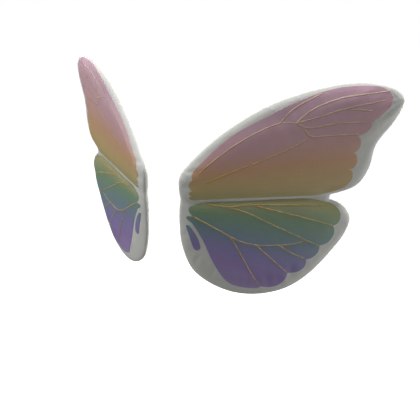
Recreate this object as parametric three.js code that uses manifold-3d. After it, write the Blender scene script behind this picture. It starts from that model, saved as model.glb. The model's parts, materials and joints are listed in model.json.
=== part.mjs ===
// Costume fairy wings: two padded butterfly wings, hinged to a small clear back yoke.
// Millimetres. +X is the wearer's left, +Y points away from the wearer's back, +Z is up.
// The origin is the centre of the yoke's flat face, the one that lies against the back.
import * as THREE from "three";
import { mergeVertices } from "three/addons/utils/BufferGeometryUtils.js";
import Module from "manifold-3d";

const wasm = await Module();
wasm.setup();

// Driving dimensions.
const GAP = 0.3; // clearance that neighbouring pieces keep
const WELD = 1e-4; // vertices closer than this are one vertex
const SWEEP = THREE.MathUtils.degToRad(28.5); // how far each wing stands back from flat
const WING = { half: 8.5, wall: 0.8 }; // half the padded thickness, and the cover's cloth
const PAD = { inset: 4.6, rimHalf: 5, shoulder: 8.4, half: 7.2 };
const WIRE = { radius: 1.2, inset: 3, step: 13, sides: 6, socket: 9 };
const FILM = { thickness: 0.4 };
const VEIN = { width: 1.5, height: 0.8 };
const HINGE = { x: 21.7, y: 6, barrel: 4.5, pin: 1.6, lugTop: 36, lugFoot: 28, knuckleFoot: 14 };
const LEAF = { inner: 13.6, outer: 50, half: 36, halfThickness: 2.5, corner: 6, riser: 16.5 };
const YOKE = { thickness: 3, half: 16.4, corner: 5 };
const SLOT = { inner: 8.4, outer: 13.6, foot: 7.5, top: 28.5, corner: 2 };
const PIN = { head: 3, headHeight: 1.2, tail: 2.6 };
const ROUND = 16; // sides of pins, bores and barrels

// Outlines in the plane of a wing, as [distance outwards from the hinge axis, height].
// Each list is one smooth run; the runs of an outline meet at its corners.
const WAIST = [[11.7, -1.5], [223.5, 10.5]];
const FOREWING_EDGE = [
  [11.7, -1.5], [9.5, 15], [11.3, 36], [31.5, 63], [76.5, 104.3], [136.5, 142.5],
  [196.5, 165.3], [253.5, 176.5], [285, 175], [309, 168], [320.5, 155], [319, 142],
  [309, 121], [289, 90], [281.5, 54], [266, 28.5], [223.5, 10.5],
];
const HINDWING_EDGE = [
  [223.5, 10.5], [250, -2], [261, -19], [257, -42], [239, -73.5], [202, -119.5],
  [166.5, -144], [117, -154.5], [72, -146], [30, -117], [13, -76], [9.4, -38],
  [10.2, -12], [11.7, -1.5],
];
const FOREWING_PANEL = [
  [[30.3, 0.5], [26.5, 2.3], [25.5, 4.2], [27, 5.9], [30, 6.9]],
  [[30, 6.9], [26.3, 9], [25.3, 11.3], [27.5, 13.6], [31, 15]],
  [[31, 15], [27.8, 18.1], [25.3, 22.5], [26.5, 27.3], [31.5, 31.5]],
  [
    [31.5, 31.5], [30, 39.5], [49, 62.5], [86.5, 97.5], [141.5, 130], [186.5, 152.5],
    [224, 167.5], [262, 174], [289, 172.5], [304, 161], [302, 143.7], [290.3, 132.5], [278, 122],
  ],
  [[278, 122], [278.2, 118.5], [277, 114.5], [273.5, 110], [268, 106.3], [260.4, 103]],
  [[260.4, 103], [263.5, 101], [265.6, 95.5], [265.4, 88.5], [262, 82.5], [256.6, 78.8]],
  [[256.6, 78.8], [260.5, 76.8], [262.9, 70.5], [262.5, 63.5], [258.6, 57.5], [251.6, 54.5]],
  [[251.6, 54.5], [256, 52.8], [258.4, 45.5], [255, 35.5], [246, 26.5], [211.5, 15], [186, 12.5]],
  [[186, 12.5], [30.3, 0.5]],
];
const HINDWING_PANEL = [
  [
    [33, -24.5], [27.5, -20], [25.2, -14.8], [25.8, -10.5], [31.5, -7], [49, -2.5], [101.5, 1.2],
    [164, 6.3], [201.5, 8], [231.5, 2], [241.5, -5], [246.2, -15], [243.4, -26.9], [236.5, -31.3],
  ],
  [[236.5, -31.3], [238.6, -37], [238, -46], [233.5, -55.5], [228, -60.3], [219, -63.6]],
  [[219, -63.6], [218.6, -70], [216.8, -75.6], [212.8, -81], [207.6, -85], [200.4, -87]],
  [[200.4, -87], [200.6, -93], [199.4, -99], [195, -105], [185.5, -110], [174.1, -111.3]],
  [[174.1, -111.3], [173, -117], [169.6, -124], [164.6, -130], [156.5, -135], [145, -137.4], [134, -136]],
  [
    [134, -136], [130, -139.2], [114, -139.9], [99, -137.8], [84, -131.3], [70.5, -114],
    [59, -92.5], [46.5, -62.5], [29, -33.8], [23.5, -30], [21.2, -27], [23.5, -24.2], [33, -24.5],
  ],
];
const SPOT_PANEL = [
  [
    [20.3, -39.5], [24, -38.7], [31.5, -46.8], [37.8, -57.5], [41.3, -67], [41.9, -75], [38.5, -78.3],
    [33.5, -78.3], [30.5, -73], [26.5, -60], [20.3, -39.5],
  ],
];

// The veins' centre lines, from the root outwards. Each starts or ends on another one.
const FOREWING_VEINS = [
  [[41.5, 42.5], [61.5, 61.2], [106.5, 95], [154, 118], [176.5, 118.8]],
  [[154, 118], [171.5, 137.5], [208.5, 159.7]],
  [[176.5, 118.8], [193.5, 135], [231.5, 153], [298.5, 164.5]],
  [[176.5, 118.8], [204, 127], [241.5, 140], [294, 152.5]],
  [[241.5, 140], [276, 138]],
  [[176.5, 118.8], [191.5, 112.5], [231.5, 119.5], [271.5, 122.5]],
  [[176.5, 118.8], [186.5, 111.3], [195.3, 101.2], [224, 102.5], [261, 105]],
  [[51.5, 28.8], [86.5, 45], [135.3, 66.3], [186.5, 92.5], [195.3, 101.2]],
];
const HINDWING_VEINS = [
  [[49, -3.8], [79.5, -6.9], [119, -3], [189, -1], [226.5, -0.5]],
  [[119, -3], [166.5, -13.8], [214, -25], [235, -31]],
  [[79.5, -6.9], [106.5, -13.8], [151.5, -34], [200, -56], [217.5, -63.4]],
  [[32.7, -24.5], [74, -46.8], [87, -54.3], [106, -62.5], [126, -66.5], [159, -65.2], [177, -63.3], [200, -56]],
  [[87, -54.3], [105.5, -87.5], [124.5, -122.5], [132.5, -134.5]],
  [[126, -66.5], [141.5, -81], [173.3, -110.3]],
  [[159, -65.2], [176.5, -76], [199, -86.3]],
];

// ---- Outlines ----

function smooth(run, perSpan) {
  const points = run.map(([x, z]) => new THREE.Vector3(x, 0, z));
  return new THREE.CatmullRomCurve3(points, false, "centripetal").getPoints((run.length - 1) * perSpan);
}

// A closed clockwise outline of Vector2s, each run shown by perSpan chords a span.
function outline(runs, perSpan) {
  return runs.flatMap((run) => smooth(run, perSpan).slice(0, -1)).map((p) => new THREE.Vector2(p.x, p.z));
}

// The inward direction at a point between its two neighbours, long enough for a mitre.
function mitre(before, point, after) {
  const normals = [point.clone().sub(before), after.clone().sub(point)]
    .map((along) => new THREE.Vector2(along.y, -along.x).normalize());
  const inward = normals[0].clone().add(normals[1]).normalize();
  const sharpest = 0.7; // keeps a sharp corner from being thrown far
  return inward.divideScalar(Math.max(inward.dot(normals[0]), sharpest));
}

function inset(points, distance) {
  return points.map((point, i) => {
    const before = points[(i + points.length - 1) % points.length];
    const after = points[(i + 1) % points.length];
    return point.clone().addScaledVector(mitre(before, point, after), distance);
  });
}

// The inset outline without the points that a corner pushes past each other.
function cleanInset(points, distance) {
  const chords = points.map((point, i) => [point, points[(i + 1) % points.length]]);
  const reach = (p) =>
    Math.min(
      ...chords.map(([from, to]) => {
        const along = to.clone().sub(from);
        const share = THREE.MathUtils.clamp(p.clone().sub(from).dot(along) / along.lengthSq(), 0, 1);
        return p.distanceTo(from.clone().addScaledVector(along, share));
      }),
    );
  return inset(points, distance).filter((p) => reach(p) > 0.96 * distance);
}

// The height of the waist seam at a distance from the hinge.
function waistHeight(x) {
  const [[x0, z0], [x1, z1]] = WAIST;
  return z0 + ((x - x0) * (z1 - z0)) / (x1 - x0);
}

function roundedBox(x0, z0, x1, z1, radius) {
  const shape = new THREE.Path();
  shape.absarc(x1 - radius, z1 - radius, radius, 0, Math.PI / 2);
  shape.absarc(x0 + radius, z1 - radius, radius, Math.PI / 2, Math.PI);
  shape.absarc(x0 + radius, z0 + radius, radius, Math.PI, 1.5 * Math.PI);
  shape.absarc(x1 - radius, z0 + radius, radius, 1.5 * Math.PI, 2 * Math.PI);
  return shape.getPoints(3);
}

// ---- Solids ----

function solidOf(geometry) {
  const bare = geometry.clone();
  bare.deleteAttribute("normal");
  bare.deleteAttribute("uv");
  const merged = mergeVertices(bare, WELD);
  const vertProperties = merged.getAttribute("position").array;
  return new wasm.Manifold(
    new wasm.Mesh({ numProp: 3, vertProperties, triVerts: new Uint32Array(merged.index.array) }),
  );
}

function geometryOf(solid) {
  const { vertProperties, triVerts } = solid.getMesh();
  const geometry = new THREE.BufferGeometry();
  geometry.setAttribute("position", new THREE.BufferAttribute(vertProperties, 3));
  geometry.setIndex(new THREE.BufferAttribute(triVerts, 1));
  geometry.computeVertexNormals();
  return geometry;
}

function joined(solids) {
  return solids.reduce((all, solid) => all.add(solid));
}

// An outline across a wing's thickness, from y0 to y1, with holes right through it.
function slab(points, y0, y1, holes = []) {
  const shape = new THREE.Shape(points);
  shape.holes = holes.map((hole) => new THREE.Path(hole));
  const geometry = new THREE.ExtrudeGeometry(shape, { depth: y1 - y0, bevelEnabled: false });
  return solidOf(geometry.rotateX(Math.PI / 2).translate(0, y1, 0));
}

function block(x0, x1, y0, y1, z0, z1) {
  const geometry = new THREE.BoxGeometry(x1 - x0, y1 - y0, z1 - z0);
  return solidOf(geometry.translate((x0 + x1) / 2, (y0 + y1) / 2, (z0 + z1) / 2));
}

// A round bar along Z.
function bar(radius, z0, z1, x, y) {
  const geometry = new THREE.CylinderGeometry(radius, radius, z1 - z0, ROUND);
  return solidOf(geometry.rotateX(Math.PI / 2).translate(x, y, (z0 + z1) / 2));
}

// A turned piece along Z, from a profile of [radius, height] that starts and ends on the axis.
function turned(profile, x, y) {
  const points = profile.map(([radius, z]) => new THREE.Vector2(radius, z));
  return solidOf(new THREE.LatheGeometry(points, ROUND).rotateX(Math.PI / 2).translate(x, y, 0));
}

// A closed body through rings of the same number of points, each { points, y }, capped at both ends.
function stack(rings) {
  const count = rings[0].points.length;
  const positions = rings.flatMap(({ points, y }) => points.flatMap((p) => [p.x, y, p.y]));
  const triangles = [];
  for (let ring = 0; ring < rings.length - 1; ring++) {
    for (let i = 0; i < count; i++) {
      const [a, b] = [ring * count + i, ring * count + ((i + 1) % count)];
      triangles.push(a, b, b + count, a, b + count, a + count);
    }
  }
  const last = (rings.length - 1) * count;
  for (const [a, b, c] of THREE.ShapeUtils.triangulateShape(rings[0].points, [])) {
    triangles.push(a, b, c);
  }
  for (const [a, b, c] of THREE.ShapeUtils.triangulateShape(rings.at(-1).points, [])) {
    triangles.push(last + a, last + c, last + b);
  }
  const geometry = new THREE.BufferGeometry();
  geometry.setAttribute("position", new THREE.Float32BufferAttribute(positions, 3));
  geometry.setIndex(rings[0].y > rings.at(-1).y ? triangles.reverse() : triangles);
  return solidOf(geometry);
}

// ---- The padded wing ----

const wingOutline = outline([FOREWING_EDGE, HINDWING_EDGE], 2);
const forewingPocket = outline([FOREWING_EDGE, WAIST.toReversed()], 2);
const hindwingPocket = outline([WAIST, HINDWING_EDGE], 2);

// One ring of a full-round edge of the given radius, at an angle up from the seam.
function edgeRing(radius, degrees, side) {
  const angle = THREE.MathUtils.degToRad(degrees);
  const points = inset(wingOutline, WING.half - radius * Math.cos(angle));
  return { points, y: side * Math.max(radius * Math.sin(angle), GAP / 2) };
}

// A cloth half shell on one side of the seam, open at the seam, with a notch for each hinge knuckle.
function cover(side) {
  const outside = [90, 45, 0].map((angle) => edgeRing(WING.half, angle, side));
  const inside = [0, 45, 90].map((angle) => edgeRing(WING.half - WING.wall, angle, side));
  const rings = [...outside, ...inside];
  const shell = stack(side < 0 ? rings : rings.toReversed());
  const depth = LEAF.halfThickness + GAP;
  return [1, -1].reduce((cut, end) => {
    const heights = [end * (HINGE.knuckleFoot - 2 * GAP), end * (HINGE.lugFoot + GAP)].sort((a, b) => a - b);
    return cut.subtract(block(0, LEAF.inner, -depth, depth, ...heights));
  }, shell);
}

// A flat foam core that fills one pocket, slit for the hinge leaf and the wire beside it.
function pad(pocket, wirePath) {
  const rim = slab(cleanInset(pocket, PAD.inset), -PAD.rimHalf, PAD.rimHalf);
  const core = rim.add(slab(cleanInset(pocket, PAD.shoulder), -PAD.half, PAD.half));
  const depth = LEAF.halfThickness + GAP;
  const tall = LEAF.half + GAP;
  const slit = block(0, LEAF.outer + GAP, -depth, depth, -tall, tall);
  return core.subtract(slit).subtract(wire(wirePath, WIRE.radius + GAP, 0));
}

// A wire round one pocket. Both of its ends run into sockets in the hinge leaf.
function wirePoints(pocket, up) {
  const bend = cleanInset(pocket, WIRE.inset).filter((p) => Math.abs(p.y) > LEAF.half + 8 || p.x > LEAF.outer + 8);
  const rise = [LEAF.half - WIRE.socket, LEAF.half].map((z) => new THREE.Vector2(LEAF.riser, up * z));
  const along = [LEAF.outer + 2, LEAF.outer - WIRE.socket].map(
    (x) => new THREE.Vector2(x, waistHeight(x) + up * WIRE.inset),
  );
  const path = up > 0 ? [...rise, ...bend, ...along] : [...along.reverse(), ...bend, ...rise.reverse()];
  return path.map((p) => new THREE.Vector3(p.x, 0, p.y));
}

// A round wire along a path; extra lengthens both ends along their own direction.
function wire(path, radius, extra) {
  const points = path.map((p) => p.clone());
  const ends = [[points[0], points[1]], [points.at(-1), points.at(-2)]];
  ends.forEach(([end, next]) => end.addScaledVector(end.clone().sub(next).normalize(), extra));
  const extrudePath = new THREE.CatmullRomCurve3(points, false, "centripetal");
  const section = new THREE.Shape(
    Array.from({ length: WIRE.sides }, (_, i) => {
      const angle = (2 * Math.PI * i) / WIRE.sides;
      return new THREE.Vector2(radius * Math.cos(angle), radius * Math.sin(angle));
    }),
  );
  const steps = Math.round(extrudePath.getLength() / WIRE.step);
  return solidOf(new THREE.ExtrudeGeometry(section, { steps, extrudePath, bevelEnabled: false }));
}

// The clear leaf inside the wing's root: a plate with two knuckles and four wire sockets.
function hingeLeaf(wirePaths) {
  const plate = roundedBox(LEAF.inner, -LEAF.half, LEAF.outer, LEAF.half, LEAF.corner);
  const solids = [slab(plate, -LEAF.halfThickness, LEAF.halfThickness)];
  for (const end of [1, -1]) {
    const heights = [end * HINGE.knuckleFoot, end * (HINGE.lugFoot - GAP)].sort((a, b) => a - b);
    solids.push(block(0, LEAF.inner + LEAF.corner, -LEAF.halfThickness, LEAF.halfThickness, ...heights));
    solids.push(bar(HINGE.barrel, ...heights, 0, 0));
  }
  const bore = bar(HINGE.pin + GAP, -LEAF.half, LEAF.half, 0, 0);
  const sockets = wirePaths.map((path) => wire(path, WIRE.radius + GAP, GAP));
  return [bore, ...sockets].reduce((leaf, cut) => leaf.subtract(cut), joined(solids));
}

// ---- The coloured film and the veins, on one face of the wing ----

// The two y limits of a layer that starts a distance above the cover.
function layer(side, lift, thickness) {
  const foot = side * (WING.half + lift);
  return [foot, foot + side * thickness].sort((a, b) => a - b);
}

function filmPanel(runs, side) {
  return slab(outline(runs, 1), ...layer(side, GAP, FILM.thickness));
}

// A flat strip along a vein's centre line.
function veinStrip(run, side) {
  const line = run.map(([x, z]) => new THREE.Vector2(x, z));
  const edge = (reach) =>
    line.map((point, i) => {
      const before = line[i - 1] ?? point.clone().multiplyScalar(2).sub(line[i + 1]);
      const after = line[i + 1] ?? point.clone().multiplyScalar(2).sub(line[i - 1]);
      return point.clone().addScaledVector(mitre(before, point, after), reach);
    });
  const strip = [...edge(VEIN.width / 2), ...edge(-VEIN.width / 2).reverse()];
  return slab(strip, ...layer(side, 2 * GAP + FILM.thickness, VEIN.height));
}

function veins(runs, side) {
  return joined(runs.map((run) => veinStrip(run, side)));
}

// ---- The yoke and its pins ----

// The clear back plate: four strap slots, and four lugs that carry the hinge pins.
function yoke() {
  const slots = [1, -1].flatMap((across) =>
    [1, -1].map((up) => {
      const xs = [across * SLOT.inner, across * SLOT.outer].sort((a, b) => a - b);
      const zs = [up * SLOT.foot, up * SLOT.top].sort((a, b) => a - b);
      return roundedBox(xs[0], zs[0], xs[1], zs[1], SLOT.corner);
    }),
  );
  const plate = roundedBox(-YOKE.half, -HINGE.lugTop, YOKE.half, HINGE.lugTop, YOKE.corner);
  const solids = [slab(plate, 0, YOKE.thickness, slots)];
  const bores = [];
  for (const across of [1, -1]) {
    const x = across * HINGE.x;
    const arm = [across * (YOKE.half - YOKE.corner), x].sort((a, b) => a - b);
    for (const up of [1, -1]) {
      const heights = [up * HINGE.lugFoot, up * HINGE.lugTop].sort((a, b) => a - b);
      solids.push(block(...arm, 0, YOKE.thickness, ...heights));
      solids.push(block(x - HINGE.barrel, x + HINGE.barrel, 0, HINGE.y, ...heights));
      solids.push(bar(HINGE.barrel, ...heights, x, HINGE.y));
    }
    bores.push(bar(HINGE.pin + GAP, -HINGE.lugTop - 1, HINGE.lugTop + 1, x, HINGE.y));
  }
  return bores.reduce((body, bore) => body.subtract(bore), joined(solids));
}

function hingePin(x) {
  const seat = HINGE.lugTop + GAP;
  return turned(
    [
      [0, -seat - PIN.tail], [HINGE.pin - GAP, -seat - PIN.tail], [HINGE.pin, -seat - PIN.tail + GAP],
      [HINGE.pin, seat], [PIN.head, seat], [PIN.head, seat + PIN.headHeight - GAP],
      [PIN.head - GAP, seat + PIN.headHeight], [0, seat + PIN.headHeight],
    ],
    x,
    HINGE.y,
  );
}

// The cap pushed on to the pin's lower end, with a blind bore for it.
function pinCap(x) {
  const top = -HINGE.lugTop - GAP;
  const bore = HINGE.pin + GAP;
  const floor = top - PIN.tail - 2 * GAP;
  return turned(
    [
      [0, floor - PIN.headHeight], [PIN.head, floor - PIN.headHeight], [PIN.head, top],
      [bore, top], [bore, floor], [0, floor],
    ],
    x,
    HINGE.y,
  );
}

// ---- Assembly ----

const SATIN = { color: "#d9dbd6", roughness: 0.45 };
const FOAM = { color: "#efece2", roughness: 0.95 };
const STEEL = { color: "#9a9ca0", roughness: 0.35, metalness: 1 };
const CLEAR = { color: "#eef3f6", roughness: 0.08, transparent: true, opacity: 0.25 };
const ROSE_AMBER = { color: "#c9977f", roughness: 0.4 };
const SEA_VIOLET = { color: "#6f8fa0", roughness: 0.4 };
const VIOLET = { color: "#7a6aa5", roughness: 0.4 };
const GOLD = { color: "#b59a55", roughness: 0.45, metalness: 0.6 };
const BLUSH = { color: "#c8909a", roughness: 0.5 };

function piece(name, solid, finish) {
  const mesh = new THREE.Mesh(geometryOf(solid), new THREE.MeshStandardMaterial(finish));
  mesh.name = name;
  return mesh;
}

const forewingWire = wirePoints(forewingPocket, 1);
const hindwingWire = wirePoints(hindwingPocket, -1);
const FACES = [["front", -1], ["rear", 1]];

// Every piece of one wing, in the wing's own frame: the hinge axis is Z and +X points outwards.
function wing(owner) {
  const group = new THREE.Group();
  const put = (name, solid, finish) => group.add(piece(`${owner}_${name}`, solid, finish));
  put("hinge_leaf", hingeLeaf([forewingWire, hindwingWire]), CLEAR);
  put("forewing_wire", wire(forewingWire, WIRE.radius, 0), STEEL);
  put("hindwing_wire", wire(hindwingWire, WIRE.radius, 0), STEEL);
  put("forewing_pad", pad(forewingPocket, forewingWire), FOAM);
  put("hindwing_pad", pad(hindwingPocket, hindwingWire), FOAM);
  for (const [face, side] of FACES) {
    put(`${face}_cover`, cover(side), SATIN);
    put(`${face}_forewing_panel`, filmPanel(FOREWING_PANEL, side), ROSE_AMBER);
    put(`${face}_hindwing_panel`, filmPanel(HINDWING_PANEL, side), SEA_VIOLET);
    put(`${face}_spot_panel`, filmPanel(SPOT_PANEL, side), VIOLET);
    put(`${face}_forewing_veins`, veins(FOREWING_VEINS, side), BLUSH);
    put(`${face}_hindwing_veins`, veins(HINDWING_VEINS, side), GOLD);
  }
  return group;
}

const wings = new THREE.Group();
wings.add(piece("yoke", yoke(), CLEAR));
for (const [owner, across] of [["left", 1], ["right", -1]]) {
  const side = wing(owner);
  side.position.set(across * HINGE.x, HINGE.y, 0);
  side.rotation.z = across * SWEEP;
  side.scale.x = across;
  wings.add(side);
  wings.add(piece(`${owner}_hinge_pin`, hingePin(across * HINGE.x), CLEAR));
  wings.add(piece(`${owner}_pin_cap`, pinCap(across * HINGE.x), CLEAR));
}

export default wings;
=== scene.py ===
"""Costume fairy wings: two padded butterfly wings, hinged to a small clear back yoke.

Metres throughout. +X is the wearer's left, +Y points away from the wearer's back and +Z is up.
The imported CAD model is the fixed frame. Covers, foam, film panels, veins and stitching are made in
the plane of a wing, where X runs outwards from the hinge axis, and then set on their own hinge.
"""

import json
import logging
import math
from collections.abc import Iterable, Sequence
from dataclasses import dataclass, field
from enum import Enum

import bpy
import numpy as np
from mathutils import Matrix, Vector
from mathutils.bvhtree import BVHTree
from mathutils.geometry import delaunay_2d_cdt


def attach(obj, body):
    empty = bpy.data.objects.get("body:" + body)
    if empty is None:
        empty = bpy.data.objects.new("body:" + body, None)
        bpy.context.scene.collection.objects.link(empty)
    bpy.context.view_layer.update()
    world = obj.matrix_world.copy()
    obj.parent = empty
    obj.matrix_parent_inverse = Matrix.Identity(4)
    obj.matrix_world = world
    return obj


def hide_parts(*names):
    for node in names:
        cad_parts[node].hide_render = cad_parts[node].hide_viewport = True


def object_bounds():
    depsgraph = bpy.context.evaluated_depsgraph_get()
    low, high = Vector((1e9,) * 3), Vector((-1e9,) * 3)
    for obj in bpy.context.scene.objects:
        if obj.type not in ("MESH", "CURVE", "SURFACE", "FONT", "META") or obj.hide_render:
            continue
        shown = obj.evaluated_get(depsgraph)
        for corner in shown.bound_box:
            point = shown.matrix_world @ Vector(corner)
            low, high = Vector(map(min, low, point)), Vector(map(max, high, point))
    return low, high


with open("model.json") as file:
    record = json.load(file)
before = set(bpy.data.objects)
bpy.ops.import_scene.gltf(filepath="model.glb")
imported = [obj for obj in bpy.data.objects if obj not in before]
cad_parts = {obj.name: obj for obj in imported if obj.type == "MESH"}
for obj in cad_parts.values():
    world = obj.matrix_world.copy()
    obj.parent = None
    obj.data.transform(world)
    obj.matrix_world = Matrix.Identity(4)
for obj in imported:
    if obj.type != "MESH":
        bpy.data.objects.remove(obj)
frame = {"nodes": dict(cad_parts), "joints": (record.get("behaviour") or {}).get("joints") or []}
CAD_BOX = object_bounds()

LOG = logging.getLogger("fairy_wings")
MM = 0.001
Point = tuple[float, float]
Run = Sequence[Point]
Colour = tuple[float, float, float]
Place = tuple[float, float, float]


class Side(Enum):
    """Which of the wearer's sides a wing is on. The value is the sign of its X."""

    LEFT = 1
    RIGHT = -1

    @property
    def word(self) -> str:
        """The side's name at the front of a piece's name."""
        return self.name.lower()


class Face(Enum):
    """Which face of a wing a layer lies on. The value is the sign of its Y."""

    FRONT = -1
    REAR = 1

    @property
    def word(self) -> str:
        """The face's name inside a piece's name."""
        return self.name.lower()


# ---- Cutting patterns, in millimetres, as (distance out from the hinge, height). They are the CAD's
# own outlines, but the forewing panel's tip is trimmed by up to 3 mm, to leave a strip of margin ----

WAIST: Run = ((11.7, -1.5), (223.5, 10.5))
FOREWING_EDGE: Run = (
    (11.7, -1.5), (9.5, 15), (11.3, 36), (31.5, 63), (76.5, 104.3), (136.5, 142.5),
    (196.5, 165.3), (253.5, 176.5), (285, 175), (309, 168), (320.5, 155), (319, 142),
    (309, 121), (289, 90), (281.5, 54), (266, 28.5), (223.5, 10.5),
)
HINDWING_EDGE: Run = (
    (223.5, 10.5), (250, -2), (261, -19), (257, -42), (239, -73.5), (202, -119.5),
    (166.5, -144), (117, -154.5), (72, -146), (30, -117), (13, -76), (9.4, -38),
    (10.2, -12), (11.7, -1.5),
)
FOREWING_PANEL: Sequence[Run] = (
    ((30.3, 0.5), (26.5, 2.3), (25.5, 4.2), (27, 5.9), (30, 6.9)),
    ((30, 6.9), (26.3, 9), (25.3, 11.3), (27.5, 13.6), (31, 15)),
    ((31, 15), (27.8, 18.1), (25.3, 22.5), (26.5, 27.3), (31.5, 31.5)),
    (
        (31.5, 31.5), (30, 39.5), (49, 62.5), (86.5, 97.5), (141.5, 130), (186.5, 152.5),
        (224, 166), (261, 171), (287, 169.5), (302, 159.5), (300.5, 143.5), (290.3, 132.5), (278, 122),
    ),
    ((278, 122), (278.2, 118.5), (277, 114.5), (273.5, 110), (268, 106.3), (260.4, 103)),
    ((260.4, 103), (263.5, 101), (265.6, 95.5), (265.4, 88.5), (262, 82.5), (256.6, 78.8)),
    ((256.6, 78.8), (260.5, 76.8), (262.9, 70.5), (262.5, 63.5), (258.6, 57.5), (251.6, 54.5)),
    ((251.6, 54.5), (256, 52.8), (258.4, 45.5), (255, 35.5), (246, 26.5), (211.5, 15), (186, 12.5)),
    ((186, 12.5), (30.3, 0.5)),
)
HINDWING_PANEL: Sequence[Run] = (
    (
        (33, -24.5), (27.5, -20), (25.2, -14.8), (25.8, -10.5), (31.5, -7), (49, -2.5), (101.5, 1.2),
        (164, 6.3), (201.5, 8), (231.5, 2), (241.5, -5), (246.2, -15), (243.4, -26.9), (236.5, -31.3),
    ),
    ((236.5, -31.3), (238.6, -37), (238, -46), (233.5, -55.5), (228, -60.3), (219, -63.6)),
    ((219, -63.6), (218.6, -70), (216.8, -75.6), (212.8, -81), (207.6, -85), (200.4, -87)),
    ((200.4, -87), (200.6, -93), (199.4, -99), (195, -105), (185.5, -110), (174.1, -111.3)),
    ((174.1, -111.3), (173, -117), (169.6, -124), (164.6, -130), (156.5, -135), (145, -137.4), (134, -136)),
    (
        (134, -136), (130, -139.2), (114, -139.9), (99, -137.8), (84, -131.3), (70.5, -114),
        (59, -92.5), (46.5, -62.5), (29, -33.8), (23.5, -30), (21.2, -27), (23.5, -24.2), (33, -24.5),
    ),
)
SPOT_PANEL: Sequence[Run] = (
    (
        (20.3, -39.5), (24, -38.7), (31.5, -46.8), (37.8, -57.5), (41.3, -67), (41.9, -75), (38.5, -78.3),
        (33.5, -78.3), (30.5, -73), (26.5, -60), (20.3, -39.5),
    ),
)
FOREWING_VEINS: Sequence[Run] = (
    ((41.5, 42.5), (61.5, 61.2), (106.5, 95), (154, 118), (176.5, 118.8)),
    ((154, 118), (171.5, 137.5), (208.5, 159.7)),
    ((176.5, 118.8), (193.5, 135), (231.5, 153), (298.5, 164.5)),
    ((176.5, 118.8), (204, 127), (241.5, 140), (294, 152.5)),
    ((241.5, 140), (276, 138)),
    ((176.5, 118.8), (191.5, 112.5), (231.5, 119.5), (271.5, 122.5)),
    ((176.5, 118.8), (186.5, 111.3), (195.3, 101.2), (224, 102.5), (261, 105)),
    ((51.5, 28.8), (86.5, 45), (135.3, 66.3), (186.5, 92.5), (195.3, 101.2)),
)
HINDWING_VEINS: Sequence[Run] = (
    ((49, -3.8), (79.5, -6.9), (119, -3), (189, -1), (226.5, -0.5)),
    ((119, -3), (166.5, -13.8), (214, -25), (235, -31)),
    ((79.5, -6.9), (106.5, -13.8), (151.5, -34), (200, -56), (217.5, -63.4)),
    (
        (32.7, -24.5), (74, -46.8), (87, -54.3), (106, -62.5),
        (126, -66.5), (159, -65.2), (177, -63.3), (200, -56),
    ),
    ((87, -54.3), (105.5, -87.5), (124.5, -122.5), (132.5, -134.5)),
    ((126, -66.5), (141.5, -81), (173.3, -110.3)),
    ((159, -65.2), (176.5, -76), (199, -86.3)),
)


def smooth_run(run: Run, step: float) -> list[Vector]:
    """Samples the smooth curve through one run of a pattern.

    Args:
        run: the points that the curve passes through, in millimetres.
        step: about how far apart the samples are, in metres.

    Returns:
        The samples in metres, from the first point to the last.
    """
    points = [Vector(point) * MM for point in run]
    padded = [2 * points[0] - points[1], *points, 2 * points[-1] - points[-2]]
    line = []
    for a, b, c, d in zip(padded, padded[1:], padded[2:], padded[3:]):
        before, along, after = (math.sqrt((q - p).length) for p, q in ((a, b), (b, c), (c, d)))
        leave = ((b - a) / before - (c - a) / (before + along) + (c - b) / along) * along
        arrive = ((c - b) / along - (d - b) / (along + after) + (d - c) / after) * along
        count = max(1, round((c - b).length / step))
        for share in (i / count for i in range(count)):
            square, cube = share**2, share**3
            line.append(
                b * (2 * cube - 3 * square + 1)
                + leave * (cube - 2 * square + share)
                + c * (3 * square - 2 * cube)
                + arrive * (cube - square)
            )
    return [*line, points[-1]]


def closed_outline(runs: Iterable[Run], step: float) -> list[Vector]:
    """Joins smooth runs, corner to corner, into one closed clockwise outline.

    Args:
        runs: the runs, each starting where the last one ends.
        step: about how far apart the samples are, in metres.

    Returns:
        The samples in metres, with no point repeated at the end.
    """
    return [point for run in runs for point in smooth_run(run, step)[:-1]]


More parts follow.
